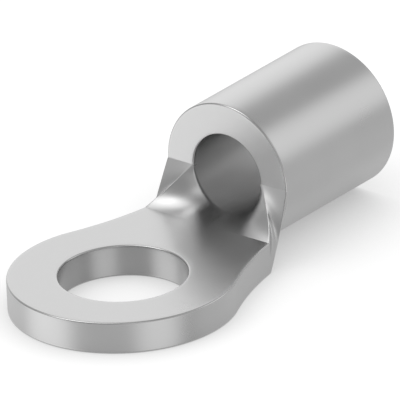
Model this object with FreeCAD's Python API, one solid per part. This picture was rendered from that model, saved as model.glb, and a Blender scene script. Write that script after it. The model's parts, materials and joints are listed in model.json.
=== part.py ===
"""Uninsulated ring terminal: one piece of tin-plated copper, in millimetres.

A flat ring tongue with a stud hole runs into a short neck. Over about one thickness of length the neck's
strip curls up into a trough, and the trough becomes the lower half of a closed, seamless wire barrel. The
barrel's mouth is cut square above the trough.

The origin is the centre of the stud hole on the underside. +X points from the hole to the barrel, along
the wire, +Z points up, and the terminal mirrors about the XZ plane.
"""

import FreeCAD, Part
import math
import os

from FreeCAD import Vector

# Driving dimensions
stud_hole_d = 3.7          # clears an M3.5 or No. 6 stud
ring_d = 6.6               # outside of the ring around the stud hole
stock = 0.95               # thickness of the tongue and of the barrel's wall
barrel_bore_d = 2.4        # takes a stranded wire of 1.5 to 2.5 square mm
barrel_length = 5.0        # closed length, from the mouth to the wire entry
hole_to_mouth = 4.82       # stud hole's centre to the barrel's mouth
curl_length = 1.0          # flat neck to mouth, where the strip curls into the trough
curl_lag = 0.15            # how far the curl's inner edges hang back, midway, from a straight run
outer_lag = 0.06           # and how far its outer edges do
neck_width = 4.52          # width of the flat strip where the curl starts
curl_gather = 0.30         # place of the middle pole along half the neck's top; 0.5 spreads the curl evenly
neck_sweep_r = 10.0        # concave radius of each side between the ring and the neck
edge_r = 0.05              # rounding that tumbling leaves on every outside edge

# Worked out from them
ring_r = ring_d / 2
bore_r = barrel_bore_d / 2
barrel_r = bore_r + stock
axis_z = barrel_r          # the barrel's underside is level with the tongue's
neck_x = hole_to_mouth - curl_length
entry_x = hole_to_mouth + barrel_length


def across(point):
    """The point's mirror image on the other side of the terminal."""
    return Vector(point.x, -point.y, point.z)


def arc_about(centre, start, end):
    """The short arc from start to end about a centre."""
    toward = (start - centre) + (end - centre)
    middle = centre + toward.normalize() * (start - centre).Length
    return Part.Arc(start, middle, end).toShape()


def side_sweep():
    """The +Y side's concave arc: its corner on the neck, its centre, and where it meets the ring."""
    corner = Vector(neck_x, neck_width / 2, 0)
    reach = ring_r + neck_sweep_r
    cos_turn = (reach**2 + corner.Length**2 - neck_sweep_r**2) / (2 * reach * corner.Length)
    angle = math.atan2(corner.y, corner.x) + math.acos(cos_turn)
    ray = Vector(math.cos(angle), math.sin(angle), 0)
    return corner, ray * reach, ray * ring_r


def tongue_outline():
    """Ring, two concave sides and the straight end of the neck, at z = 0."""
    corner, sweep_centre, touch = side_sweep()
    return Part.Wire([
        Part.Arc(touch, Vector(-ring_r, 0, 0), across(touch)).toShape(),
        arc_about(across(sweep_centre), across(touch), across(corner)),
        Part.makeLine(across(corner), corner),
        arc_about(sweep_centre, corner, touch),
    ])


def tongue():
    """The flat plate from the ring to the neck, its rims rounded above and below."""
    plate = Part.Face(tongue_outline()).extrude(Vector(0, 0, stock))
    plate = plate.cut(Part.makeCylinder(stud_hole_d / 2, stock))
    rims = [edge for edge in plate.Edges if edge.BoundBox.XLength > edge_r]
    return plate.makeFillet(edge_r, rims)


def straight_poles(start, end, middle_share=0.5):
    """Three poles of a straight edge, and the middle one's weight."""
    return [start, start + (end - start) * middle_share, end], 1


def arc_poles(centre, start, end):
    """Three poles of an arc under half a turn, and the middle one's weight."""
    toward = (start - centre) + (end - centre)
    weight = toward.Length / 2 / (start - centre).Length
    return [start, centre + toward / (2 * weight**2), end], weight


def quarter_poles(start, corner, end):
    """Three poles of a quarter round or quarter ellipse in a square corner, and the middle one's weight."""
    return [start, corner, end], math.sqrt(0.5)


def neck_section():
    """Half of the neck's rounded rectangle as five edges: from the middle of the top, round the +Y side."""
    def at(y, z):
        return Vector(neck_x, y, z)

    corner, sweep_centre, touch = side_sweep()
    half = corner.y
    cos_slant = (sweep_centre.y - half) / neck_sweep_r
    flat = half - edge_r / cos_slant    # the side still closes in here, so its roundings are cut aslant
    low, high = edge_r, stock - edge_r
    return [
        straight_poles(at(0, stock), at(flat, stock), curl_gather),
        quarter_poles(at(flat, stock), at(half, stock), at(half, high)),
        straight_poles(at(half, high), at(half, low)),
        quarter_poles(at(half, low), at(half, 0), at(flat, 0)),
        straight_poles(at(flat, 0), at(0, 0)),
    ]


def trough_section():
    """Half of the trough's half ring at the mouth as five edges, one for each edge of the neck's half."""
    def at(y, z):
        return Vector(hole_to_mouth, y, z)

    def rounded_corner(circle_r, round_centre_r):
        """Centre of the corner's rounding, its end on the circle and its end on the cut face."""
        drop = edge_r / round_centre_r
        y = round_centre_r * math.sqrt(1 - drop**2)
        centre = at(y, axis_z - edge_r)
        on_circle = at(y * circle_r / round_centre_r, axis_z - drop * circle_r)
        return centre, on_circle, at(y, axis_z)

    axis = at(0, axis_z)
    inner, bore_end, inner_top = rounded_corner(bore_r, bore_r + edge_r)
    outer, side_end, outer_top = rounded_corner(barrel_r, barrel_r - edge_r)
    return [
        arc_poles(axis, at(0, axis_z - bore_r), bore_end),
        arc_poles(inner, bore_end, inner_top),
        straight_poles(inner_top, outer_top),
        arc_poles(outer, outer_top, side_end),
        arc_poles(axis, side_end, at(0, axis_z - barrel_r)),
    ]


def curl_patch(neck_edge, trough_edge, lags):
    """A surface from an edge of the neck to its place in the trough, which hangs back by the lags midway."""
    neck_poles, neck_weight = neck_edge
    trough_poles, trough_weight = trough_edge
    neck_weights = [1, neck_weight, 1]
    trough_weights = [1, trough_weight, 1]
    back_to_neck = Vector(0, neck_width / 2 - bore_r, stock - axis_z).normalize()
    middle_poles = []
    middle_weights = []
    for a, a_weight, b, b_weight, lag in zip(neck_poles, neck_weights, trough_poles, trough_weights, lags):
        midway = (a * a_weight + b * b_weight) / (a_weight + b_weight)
        middle_poles.append(midway + back_to_neck * 2 * lag)
        middle_weights.append((a_weight + b_weight) / 2)
    surface = Part.BSplineSurface()
    surface.buildFromPolesMultsKnots(
        [neck_poles, middle_poles, trough_poles], [3, 3], [3, 3], [0, 1], [0, 1], False, False, 2, 2,
        [neck_weights, middle_weights, trough_weights])
    return surface.toShape()


def section_face(section):
    """The whole flat face of a section that is given as its +Y half."""
    edges = []
    for poles, weight in section:
        curve = Part.BSplineCurve()
        curve.buildFromPolesMultsKnots(poles, [3, 3], [0, 1], False, 2, [1, weight, 1])
        edge = curve.toShape()
        edges += [edge, edge.mirror(Vector(0, 0, 0), Vector(0, 1, 0))]
    return Part.Face(Part.Wire(Part.sortEdges(edges)[0]))


def curl():
    """The curl from flat strip to trough. Its edges turn up later than a straight run would."""
    neck, trough = neck_section(), trough_section()
    lags = [
        (0, curl_lag / 2, curl_lag),
        (curl_lag, curl_lag, curl_lag),
        (curl_lag, (curl_lag + outer_lag) / 2, outer_lag),
        (outer_lag, outer_lag, outer_lag),
        (outer_lag, 0, 0),
    ]
    faces = [section_face(neck), section_face(trough)]
    for neck_edge, trough_edge, edge_lags in zip(neck, trough, lags):
        patch = curl_patch(neck_edge, trough_edge, edge_lags)
        faces += [patch, patch.mirror(Vector(0, 0, 0), Vector(0, 1, 0))]
    shell = Part.makeShell(faces)
    shell.sewShape()
    return Part.makeSolid(shell)


def half_barrel(start_angle, rounded_ends):
    """Half a turn of the barrel's wall, from an angle measured at the top, its rims rounded at some ends."""
    low, high = axis_z + bore_r, axis_z + barrel_r
    mouth, entry = hole_to_mouth, entry_x
    corners = [(mouth, low), (entry, low), (entry, high), (mouth, high), (mouth, low)]
    wall = Part.Face(Part.makePolygon([Vector(x, 0, z) for x, z in corners]))
    mouth_centre = Vector(mouth, 0, axis_z)
    along = Vector(1, 0, 0)
    wall.rotate(mouth_centre, along, start_angle)
    half = wall.revolve(mouth_centre, along, 180)
    rims = []
    for edge in half.Edges:
        box = edge.BoundBox
        is_rim = box.XLength < edge_r and box.YLength > bore_r
        if is_rim and any(abs(box.XMin - end) < edge_r for end in rounded_ends):
            rims.append(edge)
    return half.makeFillet(edge_r, rims)


def barrel_halves():
    """The closed barrel. Its mouth is bare and rounded above, and runs on into the trough below."""
    upper = half_barrel(-90, [hole_to_mouth, entry_x])
    lower = half_barrel(90, [entry_x])
    return [upper, lower]


os.makedirs("parts", exist_ok=True)
ring_terminal = tongue().fuse([curl()] + barrel_halves()).removeSplitter()
ring_terminal.exportStep("parts/ring_terminal.step")
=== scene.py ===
"""An uninsulated ring terminal on a white floor, in metres.

The terminal is one dense mesh of the frame's own form: flat ring tongue, curl, and closed wire barrel.
It is made as its +Y half, patch by patch, and mirrored.
"""

import json
import math

import bmesh
import bpy
import numpy as np
from mathutils import Matrix, Vector


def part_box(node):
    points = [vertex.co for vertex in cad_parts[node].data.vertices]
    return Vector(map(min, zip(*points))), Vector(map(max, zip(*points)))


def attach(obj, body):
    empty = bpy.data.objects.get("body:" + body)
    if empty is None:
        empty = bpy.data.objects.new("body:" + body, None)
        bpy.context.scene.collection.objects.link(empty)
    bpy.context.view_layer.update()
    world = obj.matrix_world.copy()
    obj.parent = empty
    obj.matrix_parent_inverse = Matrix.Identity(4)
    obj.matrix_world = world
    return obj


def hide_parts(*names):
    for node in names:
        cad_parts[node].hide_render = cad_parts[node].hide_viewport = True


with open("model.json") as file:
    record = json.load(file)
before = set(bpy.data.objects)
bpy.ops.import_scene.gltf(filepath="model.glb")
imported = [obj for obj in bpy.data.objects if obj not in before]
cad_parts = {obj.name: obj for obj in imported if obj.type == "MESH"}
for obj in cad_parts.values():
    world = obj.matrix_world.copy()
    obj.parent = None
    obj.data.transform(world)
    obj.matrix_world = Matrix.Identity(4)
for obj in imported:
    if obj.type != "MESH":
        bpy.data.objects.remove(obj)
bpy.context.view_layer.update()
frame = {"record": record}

MM = 0.001

# Sizes that the frame gives
NODE = "ring_terminal"
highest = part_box(NODE)[1]
mounts = {mount["name"]: mount for mount in frame["record"]["mounts"]}
hole_r = mounts["stud_hole"]["dims"]["r_mm"] * MM
bore_r = mounts["wire_barrel"]["dims"]["r_mm"] * MM
barrel_r = highest.z / 2
axis_z = barrel_r
stock = barrel_r - bore_r
entry_x = highest.x

# Sizes that it doesn't give
ring_r = 3.3 * MM
mouth_x = 4.82 * MM
curl_length = 1.0 * MM
neck_half = 2.26 * MM     # half the width of the flat strip where the curl starts
sweep_r = 10.0 * MM       # concave radius of each side between the ring and the neck
edge_r = 0.05 * MM        # rounding of every outside edge
inner_lag = 0.15 * MM     # how far the curl's inner edges hang back, midway, from a straight run
outer_lag = 0.06 * MM     # and how far its outer edges do
curl_gather = 0.30        # middle pole's place along half the neck's top; 0.5 spreads the curl evenly
throat_run = 0.06 * MM    # softening where the curl's inside turns into the bore
neck_x = mouth_x - curl_length

# How finely the patches are cut
ROUND_STEPS = 6        # across an edge rounding
RING_STEPS = 110       # half round the ring
SWEEP_STEPS = 24       # along a concave side
SECTION_STEPS = 40     # across half the neck or the trough, inside or outside
SIDE_STEPS = 12        # down the tongue's side, across the curl's cut edge and the barrel's flat ends
CURL_STEPS = 28        # along the curl
THROAT_STEPS = 8       # round the turn into the bore
FACE_STEPS = 12        # across the tongue's top and underside
BARREL_STEPS = 44      # along the barrel
UPPER_STEPS = 56       # up the barrel, from the cut edge to the top
MITRE_STEPS = 2        # from the cut edge's rounding to the mouth's

MERGE_DISTANCE = 0.001 * MM

# The mesh's mark for edge roundings
RIM = "rim"

# How much of the white background the metal shows; the rest is the studio, whose bands the photograph has
SHARE_IN_METAL = 0.25


def even(steps):
    return np.linspace(0, 1, steps + 1)


def eased(steps):
    """Steps from 0 to 1 that are short at both ends, where creases are."""
    return (1 - np.cos(even(steps) * math.pi)) / 2


def bernstein(t):
    return [(1 - t) ** 2, 2 * t * (1 - t), t ** 2]


def conic(poles, weight, steps):
    """Points along a straight edge, an arc or a quarter ellipse, from three poles and a weight."""
    t = even(steps)
    shares = [share * w for share, w in zip(bernstein(t), (1, weight, 1))]
    total = sum(shares)
    return sum(np.outer(share / total, pole) for share, pole in zip(shares, poles))


def quarter(steps):
    """Distance in from each of the two faces, in rounding radii, along the rounding between them."""
    points = conic(np.array([(1.0, 0.0), (0.0, 0.0), (0.0, 1.0)]), math.sqrt(0.5), steps)
    return points[:, 0], points[:, 1]


def side_sweep():
    """Centre of the +Y side's concave arc, and the angle of the ray on which it meets the ring."""
    corner = math.hypot(neck_x, neck_half)
    reach = ring_r + sweep_r
    cos_turn = (reach**2 + corner**2 - sweep_r**2) / (2 * reach * corner)
    angle = math.atan2(neck_half, neck_x) + math.acos(cos_turn)
    return np.array([math.cos(angle), math.sin(angle)]) * reach, angle


def flank(inset):
    """The tongue's outline from the ring's far point to the neck's +Y corner, inset."""
    centre, ray_angle = side_sweep()
    ring_angles = math.pi + (ray_angle - math.pi) * even(RING_STEPS)
    ring = (ring_r - inset) * np.column_stack([np.cos(ring_angles), np.sin(ring_angles)])
    radius = sweep_r + inset
    first = ray_angle - math.pi
    last = -math.acos((neck_x - centre[0]) / radius)
    sweep_angles = first + (last - first) * even(SWEEP_STEPS)
    sweep = centre + radius * np.column_stack([np.cos(sweep_angles), np.sin(sweep_angles)])
    return np.vstack([ring, sweep[1:]])


def edge_profile():
    """Inset and height down the tongue's edge: rounding, straight side, rounding."""
    inset, drop = quarter(ROUND_STEPS)
    side = stock - edge_r - even(SIDE_STEPS)[1:-1] * (stock - 2 * edge_r)
    insets = np.concatenate([inset * edge_r, 0 * side, inset[::-1] * edge_r])
    heights = np.concatenate([stock - drop * edge_r, side, drop[::-1] * edge_r])
    return insets, heights


def raised(outline, height):
    return np.column_stack([outline, np.full(len(outline), height)])


def circle(radius, angles):
    return radius * np.column_stack([np.cos(angles), np.sin(angles)])


def flat_face(neck_edge, height):
    """The tongue's flat top or underside, and the angles of its columns of points about the stud hole.

    neck_edge is its edge in the neck's section, so that the curl's points meet it there.
    """
    neck_y = np.sort(conic(*neck_edge, SECTION_STEPS)[:, 1])[::-1]
    neck_line = np.column_stack([np.full(SECTION_STEPS, neck_x), neck_y[1:]])
    outline = np.vstack([flank(edge_r), neck_line])
    angles = np.arctan2(outline[:, 1], outline[:, 0])
    rim = circle(hole_r + edge_r, angles)
    return np.array([raised(rim + (outline - rim) * share, height) for share in even(FACE_STEPS)]), angles


def tongue():
    """Edge, both faces and the stud hole's wall."""
    insets, heights = edge_profile()
    edge = np.array([raised(flank(inset), height) for inset, height in zip(insets, heights)])
    section = neck_section()
    top, top_angles = flat_face(section[0], stock)
    bottom, bottom_angles = flat_face(section[-1], 0)
    wall = []
    for inset, height in zip(insets, heights):
        angles = bottom_angles + (top_angles - bottom_angles) * height / stock
        wall.append(raised(circle(hole_r + inset, angles), height))
    return [edge, top, bottom, np.array(wall)]


def neck_section():
    """Half of the neck's rounded rectangle, as the poles and weights of five edges, top first."""
    centre, ray_angle = side_sweep()
    cos_slant = (centre[1] - neck_half) / sweep_r
    flat = neck_half - edge_r / cos_slant
    low, high = edge_r, stock - edge_r
    half_turn_weight = math.sqrt(0.5)

    def at(y, z):
        return np.array([neck_x, y, z])

    return [
        ([at(0, stock), at(flat * curl_gather, stock), at(flat, stock)], 1),
        ([at(flat, stock), at(neck_half, stock), at(neck_half, high)], half_turn_weight),
        ([at(neck_half, high), at(neck_half, stock / 2), at(neck_half, low)], 1),
        ([at(neck_half, low), at(neck_half, 0), at(flat, 0)], half_turn_weight),
        ([at(flat, 0), at(flat / 2, 0), at(0, 0)], 1),
    ]


def arc_poles(centre, start, end):
    toward = (start - centre) + (end - centre)
    weight = np.linalg.norm(toward) / 2 / np.linalg.norm(start - centre)
    return [start, centre + toward / (2 * weight**2), end], weight


def trough_section():
    """Half of the trough's half ring at the mouth, as five edges that answer the neck's."""
    def at(y, z):
        return np.array([mouth_x, y, z])

    def rounded_corner(circle_r, centre_r):
        """Centre of the corner's rounding, its end on the circle and its end on the cut face."""
        drop = edge_r / centre_r
        y = centre_r * math.sqrt(1 - drop**2)
        on_circle = at(y * circle_r / centre_r, axis_z - drop * circle_r)
        return at(y, axis_z - edge_r), on_circle, at(y, axis_z)

    axis = at(0, axis_z)
    inner, bore_end, inner_top = rounded_corner(bore_r, bore_r + edge_r)
    outer, side_end, outer_top = rounded_corner(barrel_r, barrel_r - edge_r)
    return [
        arc_poles(axis, at(0, axis_z - bore_r), bore_end),
        arc_poles(inner, bore_end, inner_top),
        ([inner_top, (inner_top + outer_top) / 2, outer_top], 1),
        arc_poles(outer, outer_top, side_end),
        arc_poles(axis, side_end, at(0, axis_z - barrel_r)),
    ]


def curl_patch(neck_edge, trough_edge, lags, steps, shortfall=0):
    """A surface from an edge of the neck to its place in the trough, which hangs back by the lags midway.

    shortfall is how far before the trough each column of points ends.
    """
    back_to_neck = np.array([0, neck_half - bore_r, stock - axis_z])
    back_to_neck /= np.linalg.norm(back_to_neck)
    neck_weights = np.array([1, neck_edge[1], 1])
    trough_weights = np.array([1, trough_edge[1], 1])
    neck_poles, trough_poles = np.array(neck_edge[0]), np.array(trough_edge[0])
    total = (neck_weights + trough_weights)[:, None]
    midway = (neck_poles * neck_weights[:, None] + trough_poles * trough_weights[:, None]) / total
    midway = midway + 2 * np.array(lags)[:, None] * back_to_neck
    poles = np.array([neck_poles, midway, trough_poles])
    weights = np.array([neck_weights, total[:, 0] / 2, trough_weights])
    across = np.array(bernstein(even(steps)))
    run = 2 * np.linalg.norm(across.T @ (trough_poles - midway), axis=1)
    reach = 1 - shortfall / run
    along = np.array(bernstein(np.outer(eased(CURL_STEPS), reach)))
    shares = np.einsum("ivu,ju,ij->vuij", along, across, weights)
    return np.einsum("vuij,ijk->vuk", shares, poles) / shares.sum((2, 3))[..., None]


def throat_runs():
    """How far the soft turn into the bore runs both ways from the mouth, for each column of points.

    It fades out towards the trough's edge.
    """
    fade_share = 0.12
    return throat_run * np.clip((1 - even(SECTION_STEPS)) / fade_share, 0, 1)


def throat(ends):
    """The soft turn from the ends of the inner curl's columns into the bore."""
    corner = conic(*trough_section()[0], SECTION_STEPS)
    behind = corner + np.outer(throat_runs(), [1, 0, 0])
    shares = np.array(bernstein(even(THROAT_STEPS)))
    return np.einsum("iv,iuk->vuk", shares, np.array([ends, corner, behind]))


def curl():
    """The curl from flat strip to trough."""
    lags = [
        (0, inner_lag / 2, inner_lag),
        (inner_lag, inner_lag, inner_lag),
        (inner_lag, (inner_lag + outer_lag) / 2, outer_lag),
        (outer_lag, outer_lag, outer_lag),
        (outer_lag, 0, 0),
    ]
    steps = [SECTION_STEPS, ROUND_STEPS, SIDE_STEPS, ROUND_STEPS, SECTION_STEPS]
    shortfalls = [throat_runs(), 0, 0, 0, 0]
    patches = [
        curl_patch(*given)
        for given in zip(neck_section(), trough_section(), lags, steps, shortfalls)
    ]
    return patches + [throat(patches[0][-1])]


def ring_points(x, radii, angles):
    """Points about the barrel's axis."""
    return np.column_stack([
        np.broadcast_to(x, angles.shape),
        radii * np.cos(angles),
        axis_z + radii * np.sin(angles),
    ])


def barrel_wall(trough_arc, rounding, radius, face_r, setback=0):
    """One wall of the barrel, outside or bore, on its +Y half, and the angles of its columns of points.

    trough_arc and rounding are points of the trough's section at the mouth. Below the axis the rounding
    of the cut edge runs on to a mitre with the rounding of the mouth. face_r is the radius at which the
    mouth's flat face starts, and setback how far behind the mouth each column of the lower half starts.
    """
    radii = np.hypot(rounding[:, 1], rounding[:, 2] - axis_z)
    depth = np.clip(np.abs(radii - face_r), 0, edge_r)
    mitre_x = mouth_x + edge_r - np.sqrt(edge_r**2 - depth**2)
    starts = np.arctan2(rounding[:, 2] - axis_z, rounding[:, 1])
    mouth = []
    for x, ring_radius, start in zip(mitre_x, radii, starts):
        angles = start + (math.pi / 2 - start) * even(UPPER_STEPS)
        mouth.append(ring_points(x, ring_radius, angles))
    mitre = np.array([
        np.column_stack([mouth_x + (mitre_x - mouth_x) * share, rounding[:, 1:]])
        for share in even(MITRE_STEPS)
    ])
    rows = mouth_x + edge_r + (entry_x - mouth_x - 2 * edge_r) * even(BARREL_STEPS)
    start = starts[np.argmax(depth)]
    upper_angles = start + (math.pi / 2 - start) * even(UPPER_STEPS)
    upper = np.array([ring_points(x, radius, upper_angles) for x in rows])
    lower = []
    for x in np.concatenate([mouth_x + edge_r * even(MITRE_STEPS)[:-1], rows]):
        share_ahead = (rows[-1] - x) / (rows[-1] - mouth_x)
        set_back = np.full(len(trough_arc), x) + setback * share_ahead
        lower.append(np.column_stack([set_back, trough_arc[:, 1:]]))
    lower_angles = np.arctan2(trough_arc[:, 2] - axis_z, trough_arc[:, 1])
    if lower_angles[0] > lower_angles[-1]:
        lower_angles = lower_angles[::-1]
    angles = np.concatenate([lower_angles, upper_angles[1:]])
    return [np.array(mouth), mitre, upper, np.array(lower)], angles


def barrel():
    """The closed barrel, its mouth and its wire entry."""
    section = trough_section()
    bore_arc = conic(*section[0], SECTION_STEPS)
    inner_round = conic(*section[1], ROUND_STEPS)
    outer_round = conic(*section[3], ROUND_STEPS)
    outer_arc = conic(*section[4], SECTION_STEPS)
    bore, bore_angles = barrel_wall(bore_arc, inner_round, bore_r, bore_r + edge_r, throat_runs())
    outside, outer_angles = barrel_wall(outer_arc, outer_round, barrel_r, barrel_r - edge_r)
    angles = math.pi / 2 * even(UPPER_STEPS)
    inner_y, outer_y = inner_round[-1, 1], outer_round[0, 1]
    mouth_face = np.array([
        ring_points(mouth_x, inner_y + (outer_y - inner_y) * share, angles) for share in even(SIDE_STEPS)
    ])
    inset, drop = quarter(ROUND_STEPS)
    rounded_x = entry_x - drop * edge_r
    outer_rim = [ring_points(x, barrel_r - r * edge_r, outer_angles) for x, r in zip(rounded_x, inset)]
    bore_rim = [ring_points(x, bore_r + r * edge_r, bore_angles) for x, r in zip(rounded_x, inset)]
    inwards = bore_rim[0] - outer_rim[0]
    end_face = np.array([outer_rim[0] + inwards * share for share in even(SIDE_STEPS)])
    return bore + outside + [mouth_face, np.array(outer_rim), np.array(bore_rim), end_face]


def mesh_from_patches(name, patches):
    """Joins grids of points and their mirror images across the XZ plane into one closed mesh."""
    crease_angle = math.radians(25)
    points, faces = [], []
    for patch in patches:
        for side in (1, -1):
            grid = patch * np.array([1, side, 1])
            rows, columns = grid.shape[:2]
            first = len(points)
            points.extend(map(tuple, grid.reshape(-1, 3)))
            for row in range(rows - 1):
                for column in range(columns - 1):
                    a = first + row * columns + column
                    faces.append((a, a + 1, a + columns + 1, a + columns))
    mesh = bpy.data.meshes.new(name)
    mesh.from_pydata(points, [], faces)
    form = bmesh.new()
    form.from_mesh(mesh)
    bmesh.ops.remove_doubles(form, verts=form.verts, dist=MERGE_DISTANCE)
    bmesh.ops.recalc_face_normals(form, faces=form.faces)
    form.to_mesh(mesh)
    mark_rims(mesh, form)
    form.free()
    mesh.shade_smooth()
    mesh.set_sharp_from_angle(angle=crease_angle)
    crease_neck(mesh)
    return mesh


def on_neck_line(place):
    """Whether a point lies where the neck's top, underside or side starts to curl."""
    off_faces = min(abs(place.z - stock), abs(place.z), abs(abs(place.y) - neck_half))
    return abs(place.x - neck_x) < MERGE_DISTANCE and off_faces < MERGE_DISTANCE


def crease_neck(mesh):
    """Keeps the lines sharp at which the curl starts, also where its turn is slight."""
    for edge in mesh.edges:
        if all(on_neck_line(mesh.vertices[index].co) for index in edge.vertices):
            edge.use_edge_sharp = True


def mark_rims(mesh, form):
    """Writes 1 on the points of the small edge roundings, where the mesh turns fast but isn't creased."""
    rounding_turn = math.radians(90 / ROUND_STEPS)
    least, most = 0.7 * rounding_turn, 1.5 * rounding_turn
    values = []
    for vertex in form.verts:
        turn = max(edge.calc_face_angle(0) for edge in vertex.link_edges)
        is_rim = least < turn < most and not on_neck_line(vertex.co)
        values.append(float(is_rim))
    mesh.attributes.new(RIM, "FLOAT", "POINT").data.foreach_set("value", values)


def make_terminal():
    mesh = mesh_from_patches("tinned_terminal", tongue() + curl() + barrel())
    terminal = bpy.data.objects.new("tinned_terminal", mesh)
    bpy.context.scene.collection.objects.link(terminal)
    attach(terminal, "root")
    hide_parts(NODE)
    return terminal


def node_maker(tree):
    """A function that adds a node, sets some of its inputs and links others."""
    def add(kind, values=None, links=None, **settings):
        node = tree.nodes.new(kind)
        for name, value in settings.items():
            setattr(node, name, value)
        for name, value in (values or {}).items():
            node.inputs[name].default_value = value
        for name, output in (links or {}).items():
            tree.links.new(output, node.inputs[name])
        return node
    return add


def tin_plating():
    """Satin tin: softly mottled, glossier on the rims, which tumbling burnishes, and duller in recesses.

    Painted shade darkens its colour in recesses, on the stud hole's wall and a little on the rims.
    The recess limits are shares of open sky: below the first the painted shade or the finish is a
    recess's, above the second it is an open surface's.
    """
    recess_depth = 3.0 * MM
    recess_shade_limits, finish_limits = (0.08, 0.38), (0.10, 0.45)
    open_tone, shaded_recess_tone, rim_shade_share, hole_shade_share = 0.70, 0.50, 0.96, 0.79
    satin, recess_roughness, rim_roughness, mottle = 0.29, 0.36, 0.20, 0.05
    mottle_size, grain_size, grain_depth = 1.6 * MM, 0.035 * MM, 0.0005 * MM
    grain_strength = 0.5
    hole_shade_run = edge_r / 3
    material = bpy.data.materials.new("satin_tin")
    material.use_nodes = True
    tree = material.node_tree
    add = node_maker(tree)
    shader = tree.nodes["Principled BSDF"]
    shader.inputs["Metallic"].default_value = 1
    place = add("ShaderNodeTexCoord").outputs["Object"]

    recess = add("ShaderNodeAmbientOcclusion", {"Distance": recess_depth}, only_local=True, samples=8)
    # Painted shade: where ambient occlusion finds a recess, the colour is darkened from about 0.70 down
    # to 0.50
    tone = add("ShaderNodeMapRange", {
        "From Min": recess_shade_limits[0],
        "From Max": recess_shade_limits[1],
        "To Min": shaded_recess_tone,
        "To Max": open_tone,
    }, {"Value": recess.outputs["AO"]})
    rim = add("ShaderNodeAttribute", attribute_name=RIM).outputs["Fac"]
    flat_place = add("ShaderNodeVectorMath", {1: (1, 1, 0)}, {0: place}, operation="MULTIPLY")
    from_stud = add("ShaderNodeVectorMath", links={0: flat_place.outputs["Vector"]}, operation="LENGTH")
    clouds = add("ShaderNodeTexNoise", {"Scale": 1 / mottle_size, "Detail": 4}, {"Vector": place})

    # Painted shade: the rims' colour is a little darker, for dark lines along the edges; their gloss is
    # their finish
    rim_shade_tone = add("ShaderNodeMapRange", {"To Min": 1, "To Max": rim_shade_share}, {"Value": rim})
    # Painted shade: the stud hole's wall and the inner part of its rounding are darkened, for the shade
    # inside the hole
    hole_shade_tone = add("ShaderNodeMapRange", {
        "From Min": hole_r, "From Max": hole_r + hole_shade_run, "To Min": hole_shade_share, "To Max": 1,
    }, {"Value": from_stud.outputs["Value"]})
    cloud_tone = add("ShaderNodeMapRange", {"To Min": 1 - mottle, "To Max": 1 + mottle}, {
        "Value": clouds.outputs["Fac"],
    })
    colour = tone.outputs["Result"]
    for share in (rim_shade_tone, hole_shade_tone, cloud_tone):
        factors = {0: colour, 1: share.outputs["Result"]}
        colour = add("ShaderNodeMath", links=factors, operation="MULTIPLY").outputs["Value"]
    tree.links.new(colour, shader.inputs["Base Color"])

    cloud_roughness = add("ShaderNodeMapRange", {"To Min": satin - mottle, "To Max": satin + mottle}, {
        "Value": clouds.outputs["Fac"],
    })
    open_share = add("ShaderNodeMapRange", {"From Min": finish_limits[0], "From Max": finish_limits[1]}, {
        "Value": recess.outputs["AO"],
    })
    hollow_roughness = add("ShaderNodeMix", {"A": recess_roughness}, {
        "Factor": open_share.outputs["Result"], "B": cloud_roughness.outputs["Result"],
    })
    roughness = add("ShaderNodeMix", {"B": rim_roughness}, {
        "Factor": rim, "A": hollow_roughness.outputs["Result"],
    })
    tree.links.new(roughness.outputs["Result"], shader.inputs["Roughness"])

    grain = add("ShaderNodeTexNoise", {"Scale": 1 / grain_size, "Detail": 2}, {"Vector": place})
    bump = add("ShaderNodeBump", {"Strength": grain_strength, "Distance": grain_depth}, {
        "Height": grain.outputs["Fac"],
    })
    tree.links.new(bump.outputs["Normal"], shader.inputs["Normal"])
    return material


def background_seen(add, share_in_metal):
    """1 for what the camera sees, a share for what the metal shows, and 0 for other rays."""
    path = add("ShaderNodeLightPath").outputs
    glossy = {0: path["Is Glossy Ray"]}
    seen = add("ShaderNodeMath", {1: share_in_metal}, glossy, operation="MULTIPLY").outputs["Value"]
    for ray in ("Is Camera Ray", "Is Transmission Ray"):
        seen = add("ShaderNodeMath", links={0: seen, 1: path[ray]}, operation="MAXIMUM").outputs["Value"]
    return seen


def make_floor():
    """A white floor that keeps the terminal's shadow, a hair below it, so no two faces share a plane."""
    half_size = 0.6
    level = -0.01 * MM
    mesh = bpy.data.meshes.new("floor")
    signs = [(-1, -1), (1, -1), (1, 1), (-1, 1)]
    corners = [(x * half_size, y * half_size, level) for x, y in signs]
    mesh.from_pydata(corners, [], [(0, 1, 2, 3)])
    floor = bpy.data.objects.new("floor", mesh)
    bpy.context.scene.collection.objects.link(floor)
    mesh.materials.append(floor_paper())


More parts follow.
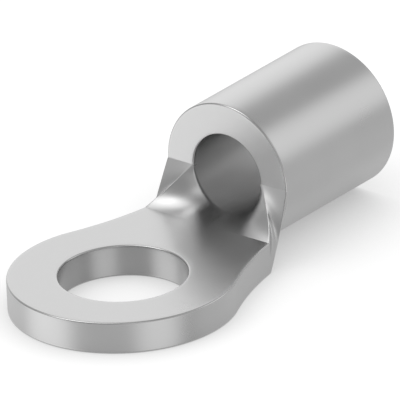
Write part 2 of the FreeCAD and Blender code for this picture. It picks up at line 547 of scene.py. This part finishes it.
def floor_paper():
    """White paper. What is seen of it is lifted, so that it is white outside the soft shadows.

    The lift is darkened near the terminal by a painted shadow from ambient occlusion; its grey keeps a
    real one.
    The metal shows it too, but faintly: most of what its rays meet is the studio behind the paper.
    """
    paper_grey, lift, painted_shadow_share = 0.24, 0.98, 0.36
    contact_depth = 7 * MM
    material = bpy.data.materials.new("floor")
    material.use_nodes = True
    tree = material.node_tree
    add = node_maker(tree)
    shader = tree.nodes["Principled BSDF"]
    shader.inputs["Base Color"].default_value = (paper_grey, paper_grey, paper_grey, 1)
    shader.inputs["Roughness"].default_value = 1
    shader.inputs["Specular IOR Level"].default_value = 0
    shader.inputs["Emission Color"].default_value = (1, 1, 1, 1)
    # Painted shadow: ambient occlusion darkens the paper's lift near the terminal, down to about a third
    # of it
    contact = add("ShaderNodeAmbientOcclusion", {"Distance": contact_depth})
    shadow = add("ShaderNodeMapRange", {"To Min": painted_shadow_share * lift, "To Max": lift}, {
        "Value": contact.outputs["AO"],
    })
    seen = background_seen(add, 1)
    lifted = add("ShaderNodeMath", links={0: shadow.outputs["Result"], 1: seen}, operation="MULTIPLY")
    tree.links.new(lifted.outputs["Value"], shader.inputs["Emission Strength"])
    clear = add("ShaderNodeBsdfTransparent")
    off_metal = add("ShaderNodeLightPath").outputs["Is Glossy Ray"]
    faint = add("ShaderNodeMath", {1: 1 - SHARE_IN_METAL}, {0: off_metal}, operation="MULTIPLY")
    shown = add("ShaderNodeMixShader", links={
        "Fac": faint.outputs["Value"], 1: shader.outputs["BSDF"], 2: clear.outputs["BSDF"],
    })
    tree.links.new(shown.outputs["Shader"], tree.nodes["Material Output"].inputs["Surface"])
    return material


def make_camera():
    """A very long lens, because the photograph shows no perspective."""
    yaw, pitch, roll = (math.radians(angle) for angle in (39.424, 24.777, 2.739))
    lens = 1500
    sensor = 36
    pixels = 400
    pixels_per_metre = 35480
    origin_pixel = (124.5, 303.7)
    forward = Vector((math.cos(yaw) * math.cos(pitch), math.sin(yaw) * math.cos(pitch), -math.sin(pitch)))
    level_right = Vector((math.sin(yaw), -math.cos(yaw), 0))
    level_down = forward.cross(level_right)
    right = math.cos(roll) * level_right + math.sin(roll) * level_down
    down = -math.sin(roll) * level_right + math.cos(roll) * level_down
    target = right * (pixels / 2 - origin_pixel[0]) + down * (pixels / 2 - origin_pixel[1])
    target /= pixels_per_metre
    distance = lens / sensor * pixels / pixels_per_metre
    camera = bpy.data.cameras.new("camera")
    camera.lens = lens
    camera.sensor_width = sensor
    camera.clip_start = 0.1
    camera.clip_end = 10
    camera_object = bpy.data.objects.new("camera", camera)
    axes = Matrix((right, -down, -forward)).transposed().to_4x4()
    camera_object.matrix_world = Matrix.Translation(target - forward * distance) @ axes
    bpy.context.scene.collection.objects.link(camera_object)
    bpy.context.scene.camera = camera_object


def toward(azimuth, elevation):
    """A direction in degrees: azimuth from +X towards +Y, elevation above the horizon."""
    a, e = math.radians(azimuth), math.radians(elevation)
    return (math.cos(a) * math.cos(e), math.sin(a) * math.cos(e), math.sin(e))


def light_studio():
    """A grey studio behind a white background.

    Each soft panel is a round glow: azimuth, elevation, inner and outer angle, strength. A negative one
    is a dark flag.
    """
    room_grey = 0.33
    panels = [
        (43, 15, 6, 37, 0.67),        # white wall behind the terminal
        (75, -30, 10, 34, 0.36),      # its glow below
        (-38, 25, 5, 26, 0.55),       # strip beside the barrel
        (-30, -35, 10, 40, 0.09),     # its glow below
        (136, -25, 10, 35, 0.91),     # glow below, on the far left
        (-108, -22, 6, 29, 0.63),     # glow below, in front
        (148, 56, 3, 16, 1.00),       # key light, high on the left
        (134, 66, 6, 27, 1.17),       # its haze
        (148, 34, 1, 10, 1.60),       # small lamp below it
        (-128, 35, 3, 17, 0.44),      # small fill in front
        (-95, 72, 6, 25, -0.29),      # dark flag overhead
        (-172, 25, 12, 38, -0.25),    # dim end of the room, beyond the ring
        (113, 20, 8, 27, -0.20),      # dim patch on the left
        (-5, 55, 5, 30, -0.08),       # dim patch high up, beyond the wire entry
        (15, -48, 2, 42, 0.17),       # glow below the barrel
        (-75, -28, 3, 17, -0.09),     # dim patch below, in front
        (0, -90, 87, 91, -0.21),      # dim floor of the room
    ]
    world = bpy.data.worlds.new("studio")
    bpy.context.scene.world = world
    world.use_nodes = True
    tree = world.node_tree
    add = node_maker(tree)
    way = add("ShaderNodeTexCoord").outputs["Generated"]
    room = add("ShaderNodeValue")
    room.outputs["Value"].default_value = room_grey
    total = room.outputs["Value"]
    for azimuth, elevation, inner, outer, strength in panels:
        direction = {1: toward(azimuth, elevation)}
        facing = add("ShaderNodeVectorMath", direction, {0: way}, operation="DOT_PRODUCT")
        glow = add("ShaderNodeMapRange", {
            "From Min": math.cos(math.radians(outer)),
            "From Max": math.cos(math.radians(inner)),
            "To Max": strength,
        }, {"Value": facing.outputs["Value"]}, interpolation_type="SMOOTHSTEP")
        total = add("ShaderNodeMath", links={0: total, 1: glow.outputs["Result"]}).outputs["Value"]
    seen = background_seen(add, SHARE_IN_METAL)
    level = add("ShaderNodeMix", {"B": 1}, {"Factor": seen, "A": total})
    background = tree.nodes["Background"]
    background.inputs["Color"].default_value = (1, 1, 1, 1)
    tree.links.new(level.outputs["Result"], background.inputs["Strength"])


terminal = make_terminal()
terminal.data.materials.append(tin_plating())
make_floor()
make_camera()
light_studio()
bpy.context.scene.view_settings.view_transform = "Standard"
